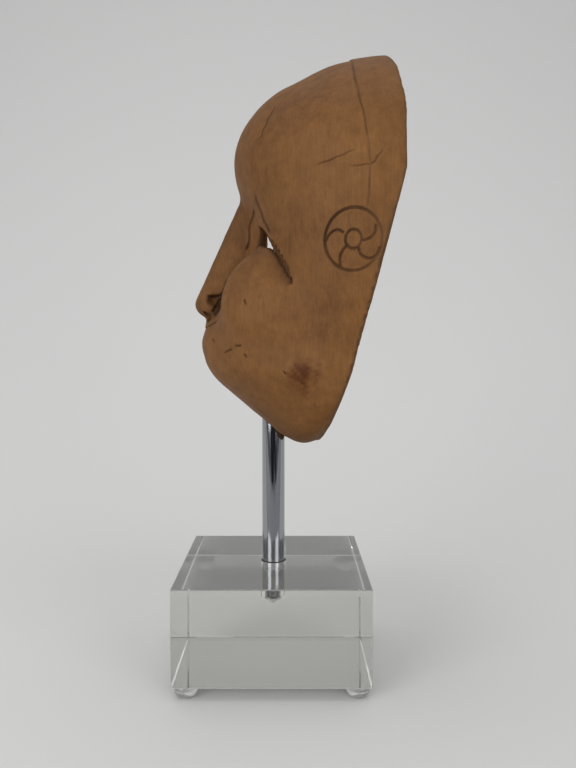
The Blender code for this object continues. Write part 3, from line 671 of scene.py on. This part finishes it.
def colour(code):
    """A colour from its sRGB hex code, as the linear values that a shader takes."""
    parts = [int(code[i:i + 2], 16) / 255 for i in (1, 3, 5)]
    return (*[c / 12.92 if c <= 0.04045 else ((c + 0.055) / 1.055) ** 2.4 for c in parts], 1.0)


def new_finish(name):
    """An empty material with its shader and its node tree."""
    material = bpy.data.materials.new(name)
    material.use_nodes = True
    return material, material.node_tree, material.node_tree.nodes["Principled BSDF"]


def add_node(tree, kind, settings=None, links=None):
    """A node with its settings, and the sockets linked into it. A number names a socket by its place."""
    node = tree.nodes.new(kind)
    for name, value in (settings or {}).items():
        if isinstance(name, int) or name in node.inputs:
            node.inputs[name].default_value = value
        else:
            setattr(node, name, value)
    for name, source in (links or {}).items():
        tree.links.new(source, node.inputs[name])
    return node


# Old close-grained wood, worn smooth and unvarnished: an even dull brown, gently
# mottled, with faint upright grain and tiny dark pores. It is near black in the cuts,
# partly dirt and partly painted shade, and painted shade darkens its corners and folds.
GRAIN_WIDTH = 0.8
GRAIN_LENGTH = 16.0
PORE_WIDTH = 0.7
MOTTLE = 5.0
CLOUD = 32.0
WOOD_PALE = "#895E33"
WOOD_MID = "#774F27"
WOOD_DEEP = "#5E3B1A"
CORNER_SHADE_BROWN = "#3C2410"
HOLLOW_BROWN = "#4A3018"
CUT_DIRT_AND_SHADE_BROWN = "#241003"
STAIN_BROWN = "#4E2600"

wood, tree, shader = new_finish("old_carved_wood")
shader.inputs["Roughness"].default_value = 0.66
shader.inputs["IOR"].default_value = 1.5
shader.inputs["Specular IOR Level"].default_value = 0.25
place = add_node(tree, "ShaderNodeTexCoord")
grain_run = add_node(
    tree, "ShaderNodeMapping",
    {"Scale": (1 / (GRAIN_WIDTH * MM), 1 / (GRAIN_WIDTH * MM), 1 / (GRAIN_LENGTH * MM))},
    {"Vector": place.outputs["Object"]},
)
grain = add_node(
    tree, "ShaderNodeTexNoise", {"Scale": 1.0, "Detail": 3.0, "Roughness": 0.55},
    {"Vector": grain_run.outputs[0]},
)
pores = add_node(
    tree, "ShaderNodeTexNoise", {"Scale": 1 / (PORE_WIDTH * MM), "Detail": 2.0, "Roughness": 0.6},
    {"Vector": place.outputs["Object"]},
)
mottle = add_node(
    tree, "ShaderNodeTexNoise", {"Scale": 1 / (MOTTLE * MM), "Detail": 4.0, "Roughness": 0.62},
    {"Vector": place.outputs["Object"]},
)
cloud = add_node(
    tree, "ShaderNodeTexNoise", {"Scale": 1 / (CLOUD * MM), "Detail": 3.0},
    {"Vector": place.outputs["Object"]},
)
brown = add_node(tree, "ShaderNodeMath", {"operation": "MULTIPLY", 1: 0.16}, {0: pores.outputs[0]}).outputs[0]
for noise, share in ((grain, 0.24), (mottle, 0.32), (cloud, 0.34)):
    brown = add_node(
        tree, "ShaderNodeMath", {"operation": "MULTIPLY_ADD", 1: share}, {0: noise.outputs[0], 2: brown},
    ).outputs[0]
browns = add_node(tree, "ShaderNodeValToRGB", links={0: brown})
browns.color_ramp.elements[0].position = 0.36
browns.color_ramp.elements[0].color = colour(WOOD_DEEP)
browns.color_ramp.elements[1].position = 0.72
browns.color_ramp.elements[1].color = colour(WOOD_PALE)
browns.color_ramp.elements.new(0.54).color = colour(WOOD_MID)


def darkened(base, shade, code, how_much):
    """The colour so far, turned to a darker one where a kept shade says so."""
    kept = add_node(tree, "ShaderNodeAttribute", {"attribute_name": shade})
    amount = add_node(
        tree, "ShaderNodeMath", {"operation": "MULTIPLY", 1: how_much, "use_clamp": True},
        {0: kept.outputs["Fac"]},
    )
    mixed = add_node(tree, "ShaderNodeMix", {"data_type": "RGBA"}, {0: amount.outputs[0], 6: base})
    mixed.inputs[7].default_value = colour(code)
    return mixed.outputs[2]


# Painted shade in corners and recesses
shown = darkened(browns.outputs[0], "corner", CORNER_SHADE_BROWN, 0.7)
shown = darkened(shown, "inside", HOLLOW_BROWN, 0.35)
shown = darkened(shown, "stain", STAIN_BROWN, 1.0)
# Near black in the cuts: partly dirt, partly painted shade
shown = darkened(shown, "cut", CUT_DIRT_AND_SHADE_BROWN, 1.0)
tree.links.new(shown, shader.inputs["Base Color"])
bump = add_node(tree, "ShaderNodeBump", {"Strength": 0.3, "Distance": 0.3 * MM}, {"Height": brown})
tree.links.new(bump.outputs[0], shader.inputs["Normal"])

carved_mask.data.materials.append(wood)
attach(carved_mask, "root")
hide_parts("mask")


# The rod
# Half inch steel bar, chrome plated and polished, its ends lightly chamfered.
# It is a push fit in the block's drilled hole and in the mask's jaw.

rod_low, rod_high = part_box("rod")
ROD_CHAMFER = 0.6 * MM
ROD_SIDES = 96


def turned(name, profile, sides, foot):
    """A profile of (radius, height) turned about an upright axis at the given foot."""
    bm = bmesh.new()
    rings = []
    for radius, height in profile:
        if radius < 1e-7:
            rings.append([bm.verts.new((foot[0], foot[1], foot[2] + height))] * sides)
            continue
        angles = [2 * math.pi * k / sides for k in range(sides)]
        rings.append([
            bm.verts.new((foot[0] + radius * math.cos(a), foot[1] + radius * math.sin(a), foot[2] + height))
            for a in angles
        ])
    for lower, upper in zip(rings, rings[1:]):
        for k in range(sides):
            n = (k + 1) % sides
            corners = [lower[k], lower[n], upper[n], upper[k]]
            corners = [v for i, v in enumerate(corners) if v not in corners[:i]]
            bm.faces.new(corners)
    bmesh.ops.recalc_face_normals(bm, faces=bm.faces)
    mesh = bpy.data.meshes.new(name)
    bm.to_mesh(mesh)
    bm.free()
    mesh.shade_smooth()
    mesh.set_sharp_from_angle(angle=math.radians(32))
    piece = bpy.data.objects.new(name, mesh)
    bpy.context.scene.collection.objects.link(piece)
    return piece


rod_radius = (rod_high.x - rod_low.x) / 2
rod_length = rod_high.z - rod_low.z
rod = turned(
    "chromed_rod",
    [
        (0, 0),
        (rod_radius - ROD_CHAMFER, 0),
        (rod_radius, ROD_CHAMFER),
        (rod_radius, rod_length - ROD_CHAMFER),
        (rod_radius - ROD_CHAMFER, rod_length),
        (0, rod_length),
    ],
    ROD_SIDES,
    (0, AXIS_Y, rod_low.z),
)

# Chrome plate, polished along the bar by hand, so that its shine is streaked and a little wavy
STREAK_WIDTH = 0.9
STREAK_LENGTH = 45.0
WAVE = 22.0
WAVE_HEIGHT = 0.4

chrome, tree, shader = new_finish("polished_chrome")
shader.inputs["Base Color"].default_value = colour("#A6A7AB")
shader.inputs["Metallic"].default_value = 1.0
place = add_node(tree, "ShaderNodeTexCoord")
streak_run = add_node(
    tree, "ShaderNodeMapping",
    {"Scale": (1 / (STREAK_WIDTH * MM), 1 / (STREAK_WIDTH * MM), 1 / (STREAK_LENGTH * MM))},
    {"Vector": place.outputs["Object"]},
)
streak = add_node(
    tree, "ShaderNodeTexNoise", {"Scale": 1.0, "Detail": 3.0}, {"Vector": streak_run.outputs[0]},
)
dull = add_node(
    tree, "ShaderNodeMapRange", {"From Min": 0.35, "From Max": 0.75, "To Min": 0.06, "To Max": 0.2},
    {"Value": streak.outputs[0]},
)
tree.links.new(dull.outputs[0], shader.inputs["Roughness"])
wave = add_node(
    tree, "ShaderNodeTexNoise", {"Scale": 1 / (WAVE * MM), "Detail": 2.0},
    {"Vector": place.outputs["Object"]},
)
bump = add_node(
    tree, "ShaderNodeBump", {"Strength": 0.35, "Distance": WAVE_HEIGHT * MM}, {"Height": wave.outputs[0]},
)
tree.links.new(bump.outputs[0], shader.inputs["Normal"])
rod.data.materials.append(chrome)
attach(rod, "root")
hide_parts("rod")


# The block
# Clear cast acrylic, four by four inches and two thick, its faces polished and
# its edges just broken. A flat hole with a drill point takes the rod.

EDGE_BREAK = 0.5 * MM
HOLE_SIDES = 96
UNDER_ROD = 0.3 * MM
DRILL_POINT = math.radians(118)
hole_radius = rod_radius + ROD_PLAY * MM
hole_floor = rod_low.z - UNDER_ROD
hole_tip = hole_floor - hole_radius / math.tan(DRILL_POINT / 2)
drill_top = block_high.z + 0.01

bm = bmesh.new()
bmesh.ops.create_cube(bm, size=1)
size = block_high - block_low
centre = (block_high + block_low) / 2
for v in bm.verts:
    v.co = [c + p * s for c, p, s in zip(centre, v.co, size)]
bmesh.ops.bevel(bm, geom=bm.edges[:], offset=EDGE_BREAK, segments=1, affect="EDGES")
mesh = bpy.data.meshes.new("clear_block")
bm.to_mesh(mesh)
bm.free()
block = bpy.data.objects.new("clear_block", mesh)
bpy.context.scene.collection.objects.link(block)
drill = turned(
    "drill", [(0, hole_tip), (hole_radius, hole_floor), (hole_radius, drill_top), (0, drill_top)],
    HOLE_SIDES, (0, AXIS_Y, 0),
)
bored = block.modifiers.new("Bored", "BOOLEAN")
bored.operation = "DIFFERENCE"
bored.solver = "EXACT"
bored.object = drill
bpy.context.view_layer.update()
block.data = bpy.data.meshes.new_from_object(block.evaluated_get(bpy.context.evaluated_depsgraph_get()))
block.modifiers.clear()
bpy.data.objects.remove(drill)
block.data.set_sharp_from_angle(angle=math.radians(25))

acrylic, tree, shader = new_finish("cast_acrylic")
shader.inputs["Base Color"].default_value = colour("#E6E6E2")
shader.inputs["Roughness"].default_value = 0.0
shader.inputs["IOR"].default_value = 1.49
shader.inputs["Transmission Weight"].default_value = 1.0
block.data.materials.append(acrylic)

# The underside is a dimmer grey acrylic that throws back less light: painted shade that darkens the block's
# lower half
underside_shade, tree, shader = new_finish("shaded_underside_acrylic")
shader.inputs["Base Color"].default_value = colour("#A0A19E")
shader.inputs["Roughness"].default_value = 0.03
shader.inputs["IOR"].default_value = 1.49
shader.inputs["Transmission Weight"].default_value = 0.55
block.data.materials.append(underside_shade)
for face in block.data.polygons:
    if face.normal.z < -0.99 and face.center.z < block_low.z + EDGE_BREAK:
        face.material_index = 1
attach(block, "root")
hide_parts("block")

# A black ring fills the play round the rod and stands a little proud of the hole's edge: painted shade for
# the dark gap at the hole's mouth
GAP_SHADE_DEEP = 0.7 * MM
GAP_SHADE_PROUD = 0.4 * MM
GAP_SHADE_SPREAD = 0.3 * MM
CLEAR = 0.02 * MM
gap_shade_ring = turned(
    "hole_gap_shade",
    [
        (rod_radius + CLEAR, 0), (hole_radius - CLEAR, 0),
        (hole_radius - CLEAR, GAP_SHADE_DEEP + CLEAR), (hole_radius + GAP_SHADE_SPREAD, GAP_SHADE_DEEP + CLEAR),
        (rod_radius + CLEAR, GAP_SHADE_DEEP + GAP_SHADE_PROUD), (rod_radius + CLEAR, 0),
    ],
    HOLE_SIDES, (0, AXIS_Y, block_high.z - GAP_SHADE_DEEP),
)
# Near-black painted shade
gap_shade, tree, shader = new_finish("painted_gap_shade")
shader.inputs["Base Color"].default_value = colour("#151412")
shader.inputs["Roughness"].default_value = 0.8
gap_shade_ring.data.materials.append(gap_shade)
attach(gap_shade_ring, "root")


# The four feet
# Small domes of soft clear polyurethane, each stuck under a corner of the block
# by a thin milky film of glue on its flat top.

FOOT_SIDES = 64
FILM = 0.2 * MM
FILM_ABOVE = 0.04 * MM
FILM_SHARE = 0.94
DOME_FROM = 75
DOME_STEP = 5
DOME_SHARE = 0.85
DOME_POWER = 0.6

rubber, tree, shader = new_finish("clear_polyurethane")
shader.inputs["Base Color"].default_value = colour("#ECEDEA")
shader.inputs["Roughness"].default_value = 0.12
shader.inputs["IOR"].default_value = 1.5
shader.inputs["Transmission Weight"].default_value = 0.9

glue, tree, shader = new_finish("milky_glue")
shader.inputs["Base Color"].default_value = colour("#FAFAF6")
shader.inputs["Roughness"].default_value = 0.5

for end in ("front", "back"):
    for hand in ("left", "right"):
        node = f"foot_{end}_{hand}"
        low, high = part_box(node)
        radius = (high.x - low.x) / 2
        tall = high.z - low.z
        angles = [math.radians(DOME_FROM - DOME_STEP * k) for k in range(DOME_FROM // DOME_STEP + 1)]
        dome = [
            (radius * math.cos(a) ** DOME_POWER, tall * DOME_SHARE * (1 - math.sin(a) / math.sin(angles[0])))
            for a in angles
        ]
        foot = turned(
            node.replace("foot", "domed_foot"),
            [(0, 0)] + dome + [(radius * 0.985, tall * 0.95), (radius * 0.96, tall), (0, tall)],
            FOOT_SIDES,
            ((low.x + high.x) / 2, (low.y + high.y) / 2, low.z),
        )
        foot.data.materials.append(rubber)
        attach(foot, "root")
        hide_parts(node)
        film = turned(
            node.replace("foot", "glue_film"),
            [(0, 0), (radius * FILM_SHARE, 0), (radius * FILM_SHARE, FILM), (0, FILM)],
            FOOT_SIDES,
            ((low.x + high.x) / 2, (low.y + high.y) / 2, high.z + FILM_ABOVE),
        )
        film.data.materials.append(glue)
        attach(film, "root")


# The studio
# A pale paper sweep that curves up behind the object, a grey table, and before
# it a near-black sheet, painted shade for the unlit room, that only the chrome
# shows; and soft light from above and from both sides of the camera.

PAPER = "#E6E6E4"
TABLE = "#B4B4B6"
ROOM_SHADE = "#1C1C20"
PAPER_EDGE = 0.125
TABLE_EDGE = 0.5
ROOM_EDGE = 3.0
SHEET_REACH = 2.6
SHEET_LAP = 0.01
TABLE_DROP, ROOM_DROP = 0.002, 0.004


def stage_sheet(name, side, half_length, code):
    """A wide sheet whose side view is a line of (x, z) points, outside the object."""
    bm = bmesh.new()
    rows = [[bm.verts.new((x, y, z)) for x, z in side] for y in (-half_length, half_length)]
    for k in range(len(side) - 1):
        bm.faces.new((rows[0][k], rows[1][k], rows[1][k + 1], rows[0][k + 1]))
    mesh = bpy.data.meshes.new(name)
    bm.to_mesh(mesh)
    bm.free()
    mesh.shade_smooth()
    sheet = bpy.data.objects.new(name, mesh)
    bpy.context.scene.collection.objects.link(sheet)
    matt, _, shader = new_finish("matt_" + name)
    shader.inputs["Base Color"].default_value = colour(code)
    shader.inputs["Roughness"].default_value = 0.9
    shader.inputs["Specular IOR Level"].default_value = 0.0
    sheet.data.materials.append(matt)


BEND_FROM = -0.15
BEND_RADIUS = 1.5
PAPER_TOP = 2.6
bend = [
    (BEND_FROM - BEND_RADIUS * math.sin(a), BEND_RADIUS - BEND_RADIUS * math.cos(a))
    for a in np.linspace(0, math.pi / 2, 49)[1:]
]
sweep = [(PAPER_EDGE, 0.0), (BEND_FROM, 0.0)] + bend + [(BEND_FROM - BEND_RADIUS, PAPER_TOP)]
table_side = [(TABLE_EDGE, -TABLE_DROP), (PAPER_EDGE - SHEET_LAP, -TABLE_DROP)]
room_side = [(ROOM_EDGE, -ROOM_DROP), (TABLE_EDGE - SHEET_LAP, -ROOM_DROP)]
stage_sheet("paper", sweep, SHEET_REACH, PAPER)
stage_sheet("table", table_side, SHEET_REACH, TABLE)
# A near-black sheet, painted shade for the unlit room
stage_sheet("room", room_side, SHEET_REACH, ROOM_SHADE)

world = bpy.data.worlds.new("studio")
world.use_nodes = True
world.node_tree.nodes["Background"].inputs[0].default_value = colour("#F4F5F7")
world.node_tree.nodes["Background"].inputs[1].default_value = 0.55
bpy.context.scene.world = world

LIGHTS = [
    ("overhead", (-0.1, -0.1, 1.7), (-0.1, 0, 0.0), 1.4, 4.5),
    ("camera_left", (1.1, -0.9, 0.4), (0, 0, 0.2), 0.8, 9.5),
    ("camera_right", (1.2, 0.9, 0.2), (0, 0, 0.2), 0.8, 9.5),
]
for name, where, toward, across, power in LIGHTS:
    lamp = bpy.data.lights.new(name, "AREA")
    lamp.energy = power
    lamp.size = across
    light = bpy.data.objects.new(name, lamp)
    bpy.context.scene.collection.objects.link(light)
    light.location = where
    aim = np.array(toward) - np.array(where)
    light.rotation_euler = (
        math.atan2(math.hypot(aim[0], aim[1]), -aim[2]), 0, math.atan2(aim[1], aim[0]) - math.pi / 2,
    )

# The photo's view: level but for a slight downward tilt, from the mask's left side
FOCAL = 714 / 768
CAMERA_AWAY = 0.401
CAMERA_SIDE = 0.00826
CAMERA_ABOVE = 0.0543
CAMERA_DOWN = math.atan(39 / 714)

bpy.context.scene.view_settings.view_transform = "Standard"
camera_data = bpy.data.cameras.new("camera")
camera_data.sensor_fit = "VERTICAL"
camera_data.sensor_height = 36
camera_data.lens = FOCAL * camera_data.sensor_height
camera = bpy.data.objects.new("camera", camera_data)
bpy.context.scene.collection.objects.link(camera)
camera.location = (CAMERA_AWAY, AXIS_Y + CAMERA_SIDE, MASK_FOOT + CAMERA_ABOVE)
camera.rotation_euler = (math.radians(90) - CAMERA_DOWN, 0, math.radians(90))
bpy.context.scene.camera = camera
